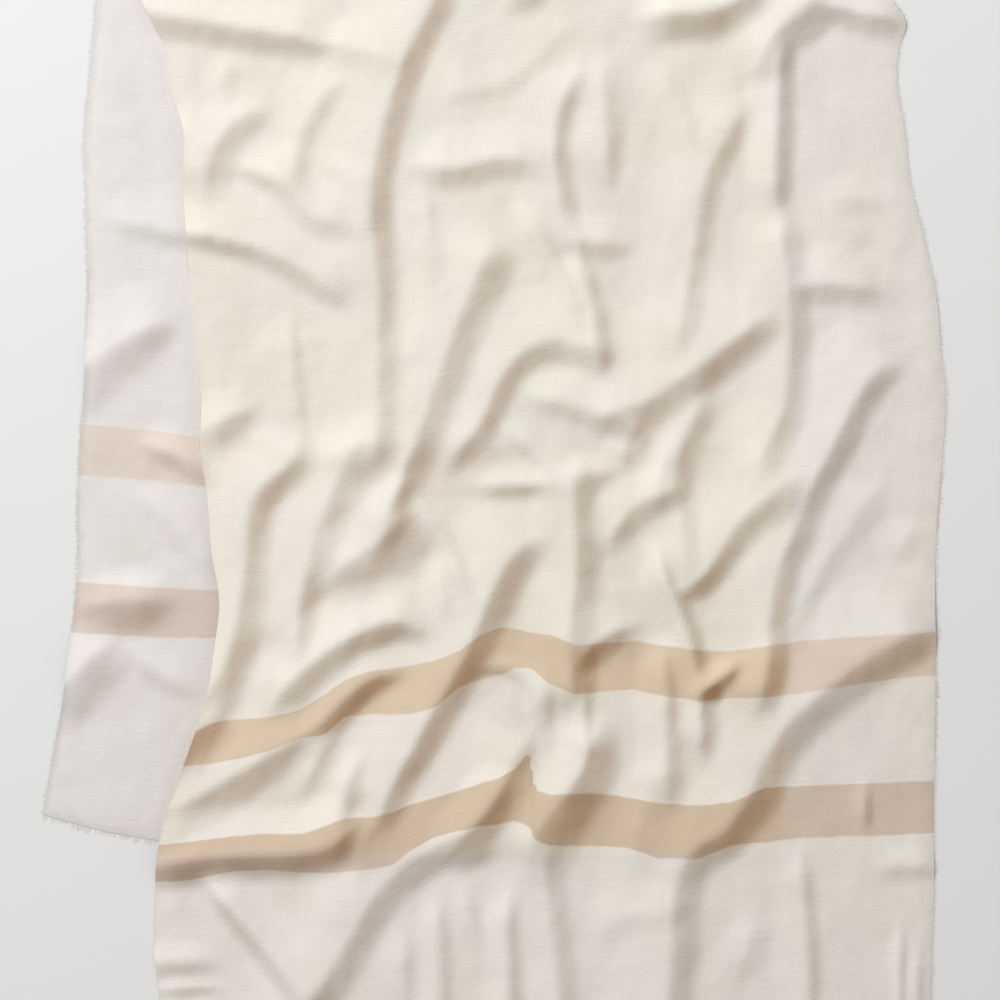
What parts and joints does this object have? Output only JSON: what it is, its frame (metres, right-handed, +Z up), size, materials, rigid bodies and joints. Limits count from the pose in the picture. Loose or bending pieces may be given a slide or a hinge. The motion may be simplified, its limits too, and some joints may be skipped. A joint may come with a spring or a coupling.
{
  "type": "gauze scarf",
  "caption": "Gauze scarf with two woven bands near each end and frayed edges, folded once across its length and laid out rumpled on a surface.",
  "frame": {"origin": "centre of the bottom of the bounding box, on the surface that the scarf lies on", "axes": "+Z up from that surface; +Y along the scarf's length, from the two woven ends towards the fold; +X to the right as it is seen from above"},
  "size_m": [0.8181, 1.0588, 0.0225],
  "materials": {
    "gauze": "open plain-weave crinkled gauze, undyed cream, with two woven tan bands near each end",
    "fray": "loose undyed yarn ends"
  },
  "bodies": {
    "root": {"upper_stretch": "gauze", "fold_stretch": "gauze", "lower_stretch": "gauze", "upper_end_fringe": "fray", "lower_end_fringe": "fray", "upper_left_fringe": "fray", "upper_right_fringe": "fray", "lower_left_fringe": "fray"}
  },
  "joints": []
}
